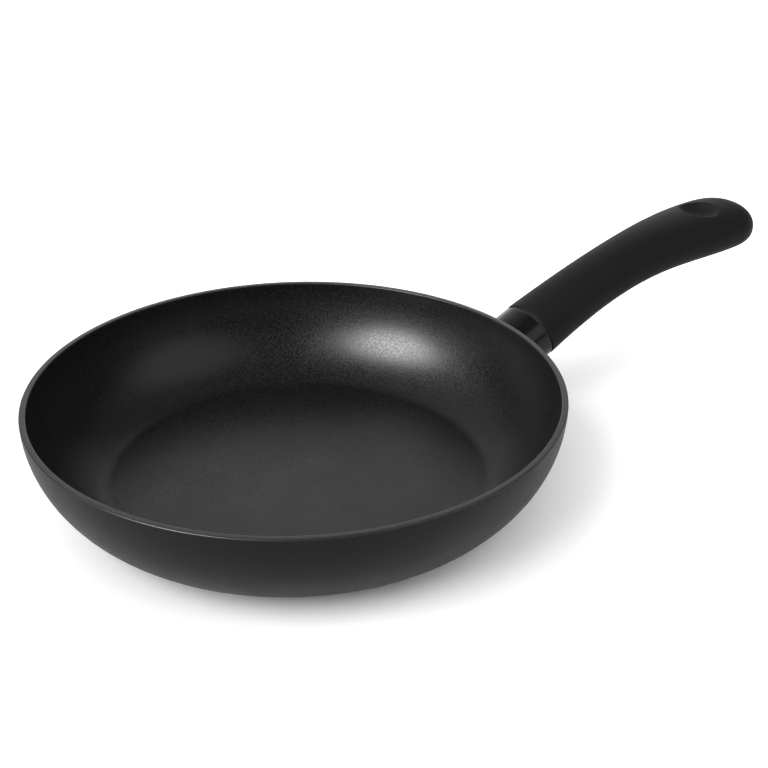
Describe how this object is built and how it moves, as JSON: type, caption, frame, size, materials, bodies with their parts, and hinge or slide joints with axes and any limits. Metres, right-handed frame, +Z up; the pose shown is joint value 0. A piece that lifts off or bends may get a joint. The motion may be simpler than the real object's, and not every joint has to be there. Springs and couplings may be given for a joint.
{
  "type": "omelette pan",
  "caption": "Round non-stick frying pan for omelettes, with a curved wall, a flat rim and a fixed arched grip behind a metal sleeve.",
  "frame": {"origin": "centre of the underside, where the pan stands on the table", "axes": "+Z up, +X from the centre of the pan along the handle, Y across it"},
  "size_m": [0.4142, 0.24, 0.0779],
  "materials": {
    "coated_aluminium": "black non-stick coating inside, satin black paint outside, machined rim",
    "disc_steel": "turned stainless steel",
    "bare_aluminium": "as cast",
    "black_gloss_metal": "glossy black sleeve",
    "seal_rubber": "matt black heat-proof rubber",
    "grip_plastic": "soft-touch black over moulded phenolic",
    "screw_steel": "zinc-plated steel",
    "plug_rubber": "matt black rubber"
  },
  "bodies": {
    "root": {"pan_body": "coated_aluminium", "base_disc": "disc_steel", "handle_lug": "bare_aluminium", "flame_guard": "black_gloss_metal", "guard_seal": "seal_rubber", "grip": "grip_plastic", "grip_screw": "screw_steel", "flat_washer": "screw_steel", "spring_washer": "screw_steel", "screw_plug": "plug_rubber"}
  },
  "joints": []
}
